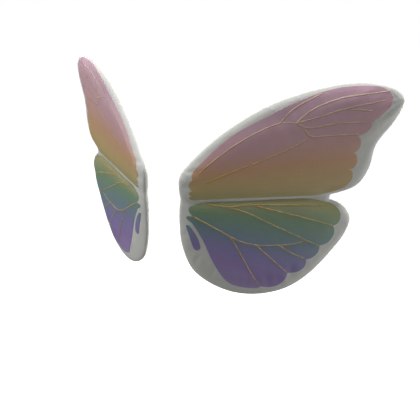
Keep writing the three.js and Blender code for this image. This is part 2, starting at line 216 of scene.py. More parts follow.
class Outline:
    """A wing's outline, and how far in from it a point lies.

    Attributes:
        AT_ONCE: how many points are measured at a time, to keep the arrays small.
        CLEAR: how far from the outline a point's own direction from it can be trusted.
        TINY: keeps divisions by a length from failing.
    """

    AT_ONCE = 400
    CLEAR = 0.2 * MM
    TINY = 1e-9

    def __init__(self, points: Sequence[Vector]) -> None:
        """Keeps the outline's chords.

        Args:
            points: a closed clockwise outline, in metres.
        """
        self.start = np.array(points, float)
        self.along = np.roll(self.start, -1, 0) - self.start
        self.square = (self.along**2).sum(1)
        right = np.stack([self.along[:, 1], -self.along[:, 0]], 1)
        self.inward = right / np.sqrt(self.square)[:, None]

    def measure(self, places: np.ndarray) -> tuple[np.ndarray, np.ndarray, np.ndarray]:
        """Finds the nearest place on the outline to each point.

        Args:
            places: the points, n by 2.

        Returns:
            How far in each point lies (negative outside), its nearest place, and the way inwards there.
        """
        found = [self._nearest(part) for part in np.array_split(places, max(1, len(places) // self.AT_ONCE))]
        depth, foot, inward = (np.concatenate(parts) for parts in zip(*found))
        return depth, foot, inward

    def _nearest(self, places: np.ndarray) -> tuple[np.ndarray, np.ndarray, np.ndarray]:
        """Does the work of measure for a few points at a time."""
        off = places[:, None] - self.start[None]
        share = np.clip((off * self.along).sum(2) / self.square, 0, 1)
        gap = off - share[..., None] * self.along
        best = (gap**2).sum(2).argmin(1)
        rows = np.arange(len(places))
        gap, inward = gap[rows, best], self.inward[best]
        reach = np.linalg.norm(gap, axis=1)
        spans = (off[..., 1] < 0) != (off[..., 1] < self.along[:, 1])
        beside = off[..., 0] * self.along[:, 1] < off[..., 1] * self.along[:, 0]
        crossed = (spans & (beside == (self.along[:, 1] > 0))).sum(1)
        sign = np.where(crossed % 2 == 1, 1.0, -1.0)
        towards = sign[:, None] * gap / np.maximum(reach, self.TINY)[:, None]
        way = np.where((reach > self.CLEAR)[:, None], towards, inward)
        return sign * reach, places - gap, way


# ---- Modelling by hand ----


def only(*objects: bpy.types.Object) -> None:
    """Selects these objects alone and makes the first one active."""
    bpy.ops.object.select_all(action="DESELECT")
    for obj in objects:
        obj.select_set(True)
    bpy.context.view_layer.objects.active = objects[0]


def linked(name: str, mesh: bpy.types.Mesh) -> bpy.types.Object:
    """Puts a mesh in the scene as a new object at the origin."""
    obj = bpy.data.objects.new(name, mesh)
    bpy.context.scene.collection.objects.link(obj)
    return obj


def edit(obj: bpy.types.Object, *steps: tuple[str, dict]) -> None:
    """Runs mesh operators on the whole of an object in edit mode.

    Args:
        obj: the mesh object.
        steps: each operator's name under bpy.ops.mesh, and its settings.
    """
    only(obj)
    bpy.ops.object.mode_set(mode="EDIT")
    bpy.ops.mesh.select_all(action="SELECT")
    for name, settings in steps:
        getattr(bpy.ops.mesh, name)(**settings)
    bpy.ops.object.mode_set(mode="OBJECT")


def finish_with(obj: bpy.types.Object, kind: str, **settings: object) -> None:
    """Adds a modifier, sets it and applies it.

    Args:
        obj: the mesh object.
        kind: the modifier's type.
        settings: the modifier's own settings.
    """
    only(obj)
    modifier = obj.modifiers.new(kind.lower(), kind)
    for key, value in settings.items():
        setattr(modifier, key, value)
    bpy.ops.object.modifier_apply(modifier=modifier.name)


def places_of(mesh: bpy.types.Mesh) -> np.ndarray:
    """A mesh's vertices as an array, n by 3."""
    flat = np.zeros(len(mesh.vertices) * 3, np.float32)
    mesh.vertices.foreach_get("co", flat)
    return flat.reshape(-1, 3).astype(float)


def move_to(mesh: bpy.types.Mesh, places: np.ndarray) -> None:
    """Moves a mesh's vertices to these places."""
    mesh.vertices.foreach_set("co", places.astype(np.float32).ravel())
    mesh.update()


def filled(name: str, outline: Sequence[Vector], depth: float) -> bpy.types.Object:
    """Makes one flat face inside an outline, facing the front.

    Args:
        name: the object's name.
        outline: the closed outline, in the plane of the wing.
        depth: the face's Y.

    Returns:
        The new object.
    """
    mesh = bpy.data.meshes.new(name)
    count = len(outline)
    mesh.from_pydata([(p.x, depth, p.y) for p in outline], [(i, (i + 1) % count) for i in range(count)], [])
    obj = linked(name, mesh)
    edit(obj, ("edge_face_add", {}), ("normals_make_consistent", {"inside": False}))
    if mesh.polygons[0].normal.y > 0:
        mesh.flip_normals()
    return obj


def cut_sheet(name: str, outline: Sequence[Vector], grid: float) -> bpy.types.Object:
    """Cuts a flat sheet to an outline, facing the front, with an even net of points inside to drape it by.

    Args:
        name: the object's name.
        outline: the closed clockwise outline, in the plane of the wing.
        grid: about how far apart the inner points are.

    Returns:
        The new object.
    """
    low, high = np.min(outline, axis=0), np.max(outline, axis=0)
    rows = np.arange(low[1], high[1], grid * math.sqrt(3) / 2)
    net = [(x, z) for i, z in enumerate(rows) for x in np.arange(low[0] + i % 2 * grid / 2, high[0], grid)]
    depth, _, _ = Outline(outline).measure(np.array(net))
    inner = [Vector(point) for point, deep in zip(net, depth) if deep > grid / 2]
    loop = list(range(len(outline)))
    triangles_inside = 1
    points, _, faces, *_ = delaunay_2d_cdt([*outline, *inner], [], [loop], triangles_inside, grid * 1e-3)
    mesh = bpy.data.meshes.new(name)
    mesh.from_pydata([(p.x, 0.0, p.y) for p in points], [], faces)
    if sum(face.normal.y for face in mesh.polygons) > 0:
        mesh.flip_normals()
    return linked(name, mesh)


def strewn(name: str, shape: bpy.types.Mesh, places: Sequence[Matrix]) -> bpy.types.Object:
    """Copies one small shape to many places, as a single piece.

    Args:
        name: the piece's name.
        shape: the shape, modelled once at the origin.
        places: where each copy stands.

    Returns:
        The new object.
    """
    corners = places_of(shape)
    faces = [list(face.vertices) for face in shape.polygons]
    count = len(corners)
    turned = [corners @ np.array(m.to_3x3()).T + np.array(m.translation) for m in places]
    every = [[i + n * count for i in face] for n in range(len(places)) for face in faces]
    mesh = bpy.data.meshes.new(name)
    mesh.from_pydata(np.concatenate(turned).tolist(), [], every)
    mesh.shade_smooth()
    return linked(name, mesh)


# ---- Finishes ----

PLANE_MAP = "wing_plane"
PLANE_SPAN = 350 * MM


class Sheet:
    """The nodes of one material or group, with short calls to add and join them."""

    def __init__(self, tree: bpy.types.NodeTree) -> None:
        """Keeps the tree that the nodes go in."""
        self.tree = tree

    def add(self, kind: str, inputs: dict | None = None, **settings: object) -> bpy.types.Node:
        """Adds a node.

        Args:
            kind: the node's type without its "ShaderNode" prefix.
            inputs: what goes in each input: a value, or another node's output.
            settings: the node's own settings.

        Returns:
            The new node.
        """
        node = self.tree.nodes.new(kind if kind.startswith("Node") else "ShaderNode" + kind)
        for key, value in settings.items():
            setattr(node, key, value)
        for key, value in (inputs or {}).items():
            self.feed(node.inputs[key], value)
        return node

    def feed(self, socket: bpy.types.NodeSocket, value: object) -> None:
        """Links an output to an input, or sets the input's value."""
        if isinstance(value, bpy.types.NodeSocket):
            self.tree.links.new(value, socket)
        elif isinstance(value, tuple) and len(value) == 3 and socket.type == "RGBA":
            socket.default_value = (*value, 1.0)
        else:
            socket.default_value = value

    def step(self, way: str, *values: object) -> bpy.types.NodeSocket:
        """One step of arithmetic.

        Args:
            way: the operation, such as ADD or MULTIPLY.
            values: numbers or outputs.

        Returns:
            The result's output.
        """
        return self.add("Math", dict(enumerate(values)), operation=way).outputs[0]

    def blend(self, share: object, a: object, b: object, way: str = "MIX") -> bpy.types.NodeSocket:
        """Mixes two colours.

        Args:
            share: how much of the second one.
            a: the first colour.
            b: the second colour.
            way: the blend type.

        Returns:
            The mixed colour's output.
        """
        node = self.add("Mix", data_type="RGBA", blend_type=way)
        for socket, value in zip((node.inputs[0], node.inputs[6], node.inputs[7]), (share, a, b)):
            self.feed(socket, value)
        return node.outputs[2]


class Effects:
    """The surface effects that several finishes share, each a node group built once."""

    made: dict[str, bpy.types.NodeTree] = {}

    @classmethod
    def start(
        cls, name: str, takes: dict[str, tuple[str, object]], gives: dict[str, str]
    ) -> tuple[Sheet, dict]:
        """Begins a group.

        Args:
            name: the group's name.
            takes: each input's name, with its socket type and value.
            gives: each output's name, with its socket type.

        Returns:
            The group's nodes, and its inputs by name.
        """
        tree = bpy.data.node_groups.new(name, "ShaderNodeTree")
        for key, (kind, value) in takes.items():
            socket = tree.interface.new_socket(key, in_out="INPUT", socket_type="NodeSocket" + kind)
            if value is not None:
                socket.default_value = (*value, 1.0) if kind == "Color" else value
        for key, kind in gives.items():
            tree.interface.new_socket(key, in_out="OUTPUT", socket_type="NodeSocket" + kind)
        sheet = Sheet(tree)
        entry = sheet.add("NodeGroupInput")
        cls.made[name] = tree
        return sheet, {key: entry.outputs[key] for key in takes}

    @classmethod
    def place(cls, sheet: Sheet, name: str, **inputs: object) -> bpy.types.Node:
        """Puts a group in a material.

        Args:
            sheet: the material's nodes.
            name: the group's name.
            inputs: values for its inputs.

        Returns:
            The group's node.
        """
        if name not in cls.made:
            getattr(cls, "_" + name)()
        node = sheet.add("Group", node_tree=cls.made[name])
        for key, value in inputs.items():
            sheet.feed(node.inputs[key], value)
        return node

    @classmethod
    def _mottle(cls) -> None:
        """Two tints in soft uneven patches, as in dyed or poured material."""
        sheet, given = cls.start(
            "mottle",
            {
                "Vector": ("Vector", None),
                "Scale": ("Float", 40.0),
                "Tint": ("Color", (0.8, 0.8, 0.8)),
                "Shade": ("Color", (0.7, 0.7, 0.7)),
            },
            {"Color": "Color", "Value": "Float"},
        )
        broad = sheet.add("TexNoise", {"Vector": given["Vector"], "Scale": given["Scale"], "Detail": 3.0})
        fine_scale = sheet.step("MULTIPLY", given["Scale"], 7.3)
        fine = sheet.add("TexNoise", {"Vector": given["Vector"], "Scale": fine_scale, "Detail": 2.0})
        broad_share = sheet.step("MULTIPLY", broad.outputs[0], 0.65)
        both = sheet.step("MULTIPLY_ADD", fine.outputs[0], 0.35, broad_share)
        spread = sheet.add("MapRange", {"Value": both, "From Min": 0.35, "From Max": 0.65})
        colour = sheet.blend(spread.outputs[0], given["Tint"], given["Shade"])
        sheet.add("NodeGroupOutput", {"Color": colour, "Value": spread.outputs[0]})

    @classmethod
    def _weave(cls) -> None:
        """The over-and-under of a woven cloth: a height, and a mask of its raised threads."""
        sheet, given = cls.start(
            "weave",
            {"Vector": ("Vector", None), "Threads": ("Float", 400.0)},
            {"Height": "Float", "Mask": "Float"},
        )
        wander = sheet.add("TexNoise", {"Vector": given["Vector"], "Scale": 60.0, "Detail": 2.0})
        bands = [
            sheet.add(
                "TexWave",
                {"Vector": given["Vector"], "Scale": given["Threads"], "Distortion": 0.4, "Detail": 1.0},
                bands_direction=axis,
            ).outputs["Fac"]
            for axis in ("X", "Y")
        ]
        height = sheet.step("MAXIMUM", bands[0], sheet.step("MULTIPLY", bands[1], 0.8))
        uneven = sheet.step("MULTIPLY_ADD", wander.outputs[0], 0.4, sheet.step("MULTIPLY", height, 0.8))
        mask = sheet.add("MapRange", {"Value": height, "From Min": 0.5, "From Max": 1.0})
        sheet.add("NodeGroupOutput", {"Height": uneven, "Mask": mask.outputs[0]})

    @classmethod
    def _creases(cls) -> None:
        """Long soft wrinkles, as where cloth or film is drawn over padding."""
        sheet, given = cls.start(
            "creases",
            {"Vector": ("Vector", None), "Scale": ("Float", 18.0)},
            {"Height": "Float"},
        )
        ridges = sheet.add(
            "TexNoise",
            {
                "Vector": given["Vector"], "Scale": given["Scale"],
                "Detail": 4.0, "Roughness": 0.45, "Distortion": 0.6,
            },
        )
        folded = sheet.step("ABSOLUTE", sheet.step("SUBTRACT", ridges.outputs[0], 0.5))
        soft = sheet.step("SUBTRACT", 1.0, sheet.step("POWER", sheet.step("MULTIPLY", folded, 2.0), 0.7))
        sheet.add("NodeGroupOutput", {"Height": soft})

    @classmethod
    def _handling(cls) -> None:
        """A mask of faint scuffs and dulled patches from being handled."""
        sheet, given = cls.start(
            "handling",
            {"Vector": ("Vector", None), "Scale": ("Float", 90.0), "Amount": ("Float", 0.5)},
            {"Mask": "Float"},
        )
        patches = sheet.add("TexNoise", {"Vector": given["Vector"], "Scale": given["Scale"], "Detail": 5.0})
        streaky = sheet.add("Mapping", {"Vector": given["Vector"], "Scale": (9.0, 1.0, 1.6)})
        streaks = sheet.add(
            "TexNoise", {"Vector": streaky.outputs[0], "Scale": given["Scale"], "Detail": 3.0}
        )
        worn = sheet.step("MULTIPLY", patches.outputs[0], streaks.outputs[0])
        mask = sheet.add(
            "MapRange", {"Value": worn, "From Min": 0.22, "From Max": 0.42, "To Max": given["Amount"]}
        )
        sheet.add("NodeGroupOutput", {"Mask": mask.outputs[0]})


@dataclass(frozen=True)
class Finish:
    """What every finish has: a name that no CAD material has, its two tints, and how rough it is."""

    name: str
    tint: Colour
    shade: Colour
    roughness: float

    def material(self) -> bpy.types.Material:
        """The finish's material, built the first time it is asked for."""
        found = bpy.data.materials.get(self.name)
        if found:
            return found
        made = bpy.data.materials.new(self.name)
        made.use_nodes = True
        made.diffuse_color = (*self.tint, 1.0)
        self.dress(Sheet(made.node_tree), made.node_tree.nodes["Principled BSDF"])
        return made

    def dress(self, sheet: Sheet, shader: bpy.types.Node) -> None:
        """Adds this finish's own nodes. Each kind of finish has its own."""
        raise NotImplementedError

    def relief(self, sheet: Sheet, shader: bpy.types.Node, heights: Sequence[tuple[object, float]]) -> None:
        """Turns heights into the shader's normal, one bump on the next.

        Args:
            sheet: the material's nodes.
            shader: its shader.
            heights: each height's output, with how far it stands in metres.
        """
        last = None
        for height, distance in heights:
            inputs = {"Height": height, "Distance": distance, "Strength": 1.0}
            if last is not None:
                inputs["Normal"] = last
            last = sheet.add("Bump", inputs).outputs[0]
        sheet.feed(shader.inputs["Normal"], last)


@dataclass(frozen=True)
class SatinFinish(Finish):
    """Pearl satin cloth over padding: a fine weave, drawn wrinkles and a soft sheen."""

    def dress(self, sheet: Sheet, shader: bpy.types.Node) -> None:
        """Adds the cloth's tints, weave and wrinkles."""
        place = sheet.add("TexCoord").outputs["Object"]
        dyed = Effects.place(sheet, "mottle", Vector=place, Scale=26.0, Tint=self.tint, Shade=self.shade)
        on_plane = sheet.add("UVMap", uv_map=PLANE_MAP).outputs[0]
        weave = Effects.place(sheet, "weave", Vector=on_plane, Threads=180.0)
        drawn = Effects.place(sheet, "creases", Vector=place, Scale=30.0)
        worn = Effects.place(sheet, "handling", Vector=place, Scale=60.0, Amount=0.12)
        sheet.feed(shader.inputs["Base Color"], dyed.outputs["Color"])
        sheet.feed(
            shader.inputs["Roughness"],
            sheet.step("ADD", sheet.step("MULTIPLY_ADD", weave.outputs["Mask"], -0.08, self.roughness),
                         worn.outputs["Mask"]),
        )
        self.relief(
            sheet, shader, [(drawn.outputs["Height"], 0.35 * MM), (weave.outputs["Height"], 0.02 * MM)]
        )
        shader.inputs["Sheen Weight"].default_value = 0.15
        shader.inputs["Sheen Roughness"].default_value = 0.4
        shader.inputs["Specular IOR Level"].default_value = 0.25


@dataclass(frozen=True)
class FilmFinish(Finish):
    """Printed iridescent film: colours that fan out from behind the wing's root, with a faint crinkle.

    Attributes:
        colours: the fan's colours, each with its slope (height over distance from the fan's origin).
        fan_origin: the origin's distance out from the hinge.
        drift: how much the slope wanders.
    """

    colours: Sequence[tuple[float, Colour]] = ()
    fan_origin: float = -250 * MM
    drift: float = 0.02

    def dress(self, sheet: Sheet, shader: bpy.types.Node) -> None:
        """Adds the fan of colours and the crinkle."""
        flat = sheet.add("UVMap", uv_map=PLANE_MAP).outputs[0]
        parts = sheet.add("SeparateXYZ", {"Vector": flat})
        out = sheet.step("MULTIPLY_ADD", parts.outputs["X"], PLANE_SPAN, -self.fan_origin)
        up = sheet.step("MULTIPLY_ADD", parts.outputs["Y"], PLANE_SPAN, -PLANE_SPAN / 2)
        slope = sheet.step("DIVIDE", up, out)
        cloudy = sheet.add("TexNoise", {"Vector": flat, "Scale": 5.0, "Detail": 3.0})
        drift = sheet.step("MULTIPLY_ADD", cloudy.outputs[0], self.drift, -self.drift / 2)
        low, high = self.colours[0][0], self.colours[-1][0]
        fan = sheet.add(
            "MapRange", {"Value": sheet.step("ADD", slope, drift), "From Min": low, "From Max": high}
        )
        ramp = sheet.add("ValToRGB", {"Fac": fan.outputs[0]})
        stops = ramp.color_ramp.elements
        while len(stops) < len(self.colours):
            stops.new(0.5)
        for stop, (place, colour) in zip(stops, self.colours):
            stop.position = (place - low) / (high - low)
            stop.color = (*colour, 1.0)
        pearly = Effects.place(sheet, "mottle", Vector=flat, Scale=14.0, Tint=self.tint, Shade=self.shade)
        colour = sheet.blend(1.0, ramp.outputs["Color"], pearly.outputs["Color"], "MULTIPLY")
        crinkle = Effects.place(sheet, "creases", Vector=flat, Scale=16.0)
        worn = Effects.place(sheet, "handling", Vector=flat, Scale=20.0, Amount=0.15)
        sheet.feed(shader.inputs["Base Color"], colour)
        sheet.feed(shader.inputs["Roughness"], sheet.step("ADD", worn.outputs["Mask"], self.roughness))
        self.relief(sheet, shader, [(crinkle.outputs["Height"], 0.12 * MM)])
        shader.inputs["Specular IOR Level"].default_value = 0.25
        shader.inputs["Coat Weight"].default_value = 0.08
        shader.inputs["Coat Roughness"].default_value = 0.35


@dataclass(frozen=True)
class CordFinish(Finish):
    """Twisted cord or thread: bands that run round it, with painted shade between them."""

    twist: float = 900.0
    metallic: float = 0.0

    def dress(self, sheet: Sheet, shader: bpy.types.Node) -> None:
        """Adds the twist, and painted shade between its strands."""
        place = sheet.add("TexCoord").outputs["Object"]
        bands = sheet.add(
            "TexWave", {"Vector": place, "Scale": self.twist, "Distortion": 1.5, "Detail": 1.0},
            bands_direction="DIAGONAL",
        )
        dyed = Effects.place(sheet, "mottle", Vector=place, Scale=120.0, Tint=self.tint, Shade=self.shade)
        # painted shade: the cord's colour darkens towards its shade tint between the strands of the twist,
        # where shade falls.
        colour_with_painted_strand_shade = sheet.blend(
            sheet.step("MULTIPLY_ADD", bands.outputs["Fac"], -0.25, 0.25), dyed.outputs["Color"], self.shade
        )
        sheet.feed(shader.inputs["Base Color"], colour_with_painted_strand_shade)
        sheet.feed(
            shader.inputs["Roughness"], sheet.step("MULTIPLY_ADD", dyed.outputs["Value"], 0.1, self.roughness)
        )
        self.relief(sheet, shader, [(bands.outputs["Fac"], 0.05 * MM)])
        shader.inputs["Metallic"].default_value = self.metallic


@dataclass(frozen=True)
class FoamFinish(Finish):
    """Open-cell foam: fine pores all over, with painted shade in them."""

    def dress(self, sheet: Sheet, shader: bpy.types.Node) -> None:
        """Adds the pores, painted darker inside as painted shade."""
        place = sheet.add("TexCoord").outputs["Object"]
        dyed = Effects.place(sheet, "mottle", Vector=place, Scale=30.0, Tint=self.tint, Shade=self.shade)
        cells = sheet.add("TexVoronoi", {"Vector": place, "Scale": 900.0})
        # painted shade: the colour darkens towards the shade tint at the middle of each cell, where the pits
        # are sunk and shade falls.
        colour = sheet.blend(sheet.step("MULTIPLY", cells.outputs["Distance"], 0.5), self.shade,
                             dyed.outputs["Color"])
        sheet.feed(shader.inputs["Base Color"], colour)
        sheet.feed(shader.inputs["Roughness"],
                   sheet.step("MULTIPLY_ADD", cells.outputs["Distance"], 0.05, self.roughness))
        self.relief(sheet, shader, [(cells.outputs["Distance"], 0.2 * MM)])


@dataclass(frozen=True)
class SteelFinish(Finish):
    """Drawn spring steel: fine lines, and a dull bloom in patches."""

    def dress(self, sheet: Sheet, shader: bpy.types.Node) -> None:
        """Adds the drawn lines and the bloom."""
        place = sheet.add("TexCoord").outputs["Object"]
        dyed = Effects.place(sheet, "mottle", Vector=place, Scale=70.0, Tint=self.tint, Shade=self.shade)
        worn = Effects.place(sheet, "handling", Vector=place, Scale=200.0, Amount=0.3)
        sheet.feed(shader.inputs["Base Color"], dyed.outputs["Color"])
        sheet.feed(shader.inputs["Roughness"], sheet.step("ADD", worn.outputs["Mask"], self.roughness))
        self.relief(sheet, shader, [(worn.outputs["Mask"], 0.03 * MM)])
        shader.inputs["Metallic"].default_value = 1.0


@dataclass(frozen=True)
class ClearFinish(Finish):
    """Clear moulded plastic: nearly invisible, with a faint frosting where it has been handled."""

    opacity: float = 0.012

    def dress(self, sheet: Sheet, shader: bpy.types.Node) -> None:
        """Adds the frosting, which shows in its opacity and its gloss."""
        place = sheet.add("TexCoord").outputs["Object"]
        dyed = Effects.place(sheet, "mottle", Vector=place, Scale=60.0, Tint=self.tint, Shade=self.shade)
        worn = Effects.place(sheet, "handling", Vector=place, Scale=150.0, Amount=0.12)
        sheet.feed(shader.inputs["Base Color"], dyed.outputs["Color"])
        sheet.feed(shader.inputs["Roughness"], sheet.step("ADD", worn.outputs["Mask"], self.roughness))
        sheet.feed(shader.inputs["Alpha"],
                   sheet.step("MULTIPLY_ADD", worn.outputs["Mask"], 0.04, self.opacity))
        self.relief(sheet, shader, [(dyed.outputs["Value"], 0.02 * MM)])
        shader.inputs["IOR"].default_value = 1.49


FAN_COLOURS: Sequence[tuple[float, Colour]] = (
    (-0.38, (0.47, 0.37, 0.64)),  # lilac
    (-0.30, (0.38, 0.28, 0.57)),  # violet
    (-0.22, (0.32, 0.29, 0.55)),  # indigo
    (-0.14, (0.24, 0.35, 0.39)),  # teal
    (-0.06, (0.26, 0.40, 0.25)),  # green
    (0.02, (0.55, 0.50, 0.24)),  # olive gold
    (0.08, (0.67, 0.49, 0.23)),  # amber
    (0.14, (0.73, 0.44, 0.26)),  # apricot
    (0.22, (0.74, 0.46, 0.48)),  # rose
    (0.32, (0.75, 0.50, 0.59)),  # pink
)
PEARL_SATIN = SatinFinish("pearl_satin", (0.80, 0.80, 0.76), (0.75, 0.75, 0.71), 0.55)
SATIN_THREAD = CordFinish("satin_thread", (0.80, 0.82, 0.76), (0.62, 0.64, 0.58), 0.55, twist=1400.0)
RAINBOW_FILM = FilmFinish("rainbow_film", (1.0, 1.0, 1.0), (0.95, 0.94, 0.96), 0.42, colours=FAN_COLOURS)
ROSE_BRAID = FilmFinish("rose_braid", (0.90, 0.96, 0.68), (0.84, 0.89, 0.62), 0.6, colours=FAN_COLOURS)
GOLD_BRAID = CordFinish("gold_braid", (0.66, 0.50, 0.22), (0.46, 0.33, 0.13), 0.5, metallic=0.15)
WHITE_FOAM = FoamFinish("white_foam", (0.86, 0.84, 0.76), (0.74, 0.71, 0.62), 0.9)
SPRING_STEEL = SteelFinish("spring_steel", (0.56, 0.57, 0.58), (0.42, 0.43, 0.45), 0.28)
CLEAR_PLASTIC = ClearFinish("clear_moulding", (0.93, 0.95, 0.96), (0.88, 0.91, 0.93), 0.12)


# ---- One padded wing ----


@dataclass
class WingCover:
    """The sewn cover of a wing, in the plane of the wing, and what can be laid on its faces.

    Attributes:
        half: half the pad's thickness.
        edge_reach: how far in from the outline the edge's rounding goes.
        voxel: the mesh's size before it is subdivided.
        seam_half: how far from a seam the cloth is held while it is blown out.
        puff_limit: the most that the cloth may move.
        pressure: how hard it is blown out.
        settle_frames: how many frames that takes.
        crease_depth: how far the waist seam draws each face in.
        crease_reach: how wide that crease is.
        step: how far apart the outline's samples are.
        probe: how far off a face its surface is looked for.
    """

    half: float = 8.0 * MM
    edge_reach: float = 18 * MM
    voxel: float = 3.5 * MM
    seam_half: float = 2.5 * MM
    puff_limit: float = 1.6 * MM
    pressure: float = 4.0
    settle_frames: int = 20
    crease_depth: float = 2.2 * MM
    crease_reach: float = 4.5 * MM
    step: float = 1 * MM
    probe: float = 50 * MM
    obj: bpy.types.Object = field(init=False)
    outline: Outline = field(init=False)
    surface: BVHTree = field(init=False)

    def build(self) -> None:
        """Makes the cover: cut, filled out over its foam, and quilted along the waist."""
        points = closed_outline((FOREWING_EDGE, HINDWING_EDGE), self.step)
        self.outline = Outline(points)
        self.obj = filled("wing_cover", points, -self.half)
        edit(
            self.obj,
            ("extrude_region_move", {"TRANSFORM_OT_translate": {"value": (0, 2 * self.half, 0)}}),
            ("select_all", {"action": "SELECT"}),
            ("normals_make_consistent", {"inside": False}),
        )
        finish_with(self.obj, "REMESH", mode="VOXEL", voxel_size=self.voxel)
        self._round_edge()
        self._fill_out()
        self._quilt()
        finish_with(self.obj, "SUBSURF", levels=1, render_levels=1)
        self.obj.data.shade_smooth()
        self.surface = BVHTree.FromObject(self.obj, bpy.context.evaluated_depsgraph_get())

    def _round_edge(self) -> None:
        """Brings every vertex on to a flat pad with a full round edge."""
        places = places_of(self.obj.data)
        depth, foot, inward = self.outline.measure(places[:, [0, 2]])
        across = np.maximum(self.edge_reach - depth, 0) / self.edge_reach
        height = places[:, 1] / self.half
        radius = np.maximum(np.hypot(across, height), 1e-6)
        rim = depth < self.edge_reach
        inset = self.edge_reach * (1 - across / radius)
        rounded = foot + inward * inset[:, None]
        places[rim, 0] = rounded[rim, 0]
        places[rim, 2] = rounded[rim, 1]
        places[:, 1] = np.where(rim, height / radius, np.sign(height)) * self.half
        move_to(self.obj.data, places)

    def _from_waist(self, places: np.ndarray) -> np.ndarray:
        """How far each place is from the waist seam."""
        start, stop = (np.array(point) * MM for point in WAIST)
        along = stop - start
        off = places[:, [0, 2]] - start
        share = np.clip(off @ along / (along @ along), 0, 1)
        return np.linalg.norm(off - share[:, None] * along, axis=1)

    def _fill_out(self) -> None:
        """Blows the cover out from its seams with a cloth simulation, by no more than the limit."""
        rest = places_of(self.obj.data)
        sewn = (np.abs(rest[:, 1]) < self.seam_half) | (self._from_waist(rest) < self.seam_half)
        group = self.obj.vertex_groups.new(name="sewn")
        group.add(np.flatnonzero(sewn).tolist(), 1.0, "ADD")
        only(self.obj)
        modifier = self.obj.modifiers.new("cloth", "CLOTH")
        modifier.settings.vertex_group_mass = group.name
        modifier.settings.use_pressure = True
        modifier.settings.uniform_pressure_force = self.pressure
        modifier.settings.effector_weights.gravity = 0
        modifier.point_cache.frame_start = 1
        modifier.point_cache.frame_end = self.settle_frames
        for number in range(1, self.settle_frames + 1):
            bpy.context.scene.frame_set(number)
        bpy.ops.object.modifier_apply(modifier=modifier.name)
        bpy.context.scene.frame_set(1)
        self.obj.vertex_groups.clear()
        move = places_of(self.obj.data) - rest
        length = np.maximum(np.linalg.norm(move, axis=1), 1e-9)
        limited = self.puff_limit * np.tanh(length / self.puff_limit)
        move_to(self.obj.data, rest + move * (limited / length)[:, None])

    def _quilt(self) -> None:
        """Draws both faces in along the waist seam."""
        places = places_of(self.obj.data)
        depth, _, _ = self.outline.measure(places[:, [0, 2]])
        pull = self.crease_depth * np.exp(-((self._from_waist(places) / self.crease_reach) ** 2))
        pull *= np.clip(depth / self.edge_reach, 0, 1)
        places[:, 1] -= np.sign(places[:, 1]) * np.minimum(pull, np.abs(places[:, 1]) / 2)
        move_to(self.obj.data, places)

    def on_face(self, x: float, z: float, face: Face) -> tuple[Vector, Vector]:
        """Finds the cover's surface straight in from a face.

        Args:
            x: distance out from the hinge axis.
            z: height.
            face: which face to look at.

        Returns:
            The place on the surface, and the surface's way outwards there.
        """
        origin = Vector((x, face.value * self.probe, z))
        place, normal, _, _ = self.surface.ray_cast(origin, Vector((0, -face.value, 0)))
        if place is None:
            place, normal, _, _ = self.surface.find_nearest(Vector((x, face.value * MM, z)))
        return place, normal


@dataclass
class FoamCore:
    """A foam core cut to fill one pocket of the cover.

    Attributes:
        cover: the cover that it goes in.
        voxel: the mesh's size.
        cloth: how far inside the cover's face it stays.
        thinnest: the least half thickness that it keeps.
        weld: how close two of the CAD's corners are when they are one.
        smoothing: how many times it is smoothed.
    """

    cover: WingCover
    voxel: float = 2.5 * MM
    cloth: float = 1.0 * MM
    thinnest: float = 0.2 * MM
    weld: float = 0.01 * MM
    smoothing: int = 3

    def build(self, node: bpy.types.Object, from_wing: Matrix) -> bpy.types.Object:
        """Rounds off a CAD foam core and keeps it inside the cover's cloth.

        Args:
            node: the CAD node.
            from_wing: brings the node from its place on the wing to the plane of the wing.

        Returns:
            The core, in the plane of the wing.
        """
        obj = linked("foam_core", node.data.copy())
        obj.data.transform(from_wing)
        edit(obj, ("remove_doubles", {"threshold": self.weld}), ("delete_loose", {}))
        finish_with(obj, "REMESH", mode="VOXEL", voxel_size=self.voxel)
        finish_with(obj, "SMOOTH", factor=0.5, iterations=self.smoothing)
        places = places_of(obj.data)
        for i, (x, y, z) in enumerate(places):
            on, _ = self.cover.on_face(x, z, Face.FRONT if y < 0 else Face.REAR)
            room = max(abs(on.y) - self.cloth, self.thinnest)
            places[i, 1] = math.copysign(min(abs(y), room), y)
        move_to(obj.data, places)
        obj.data.shade_smooth()
        return obj


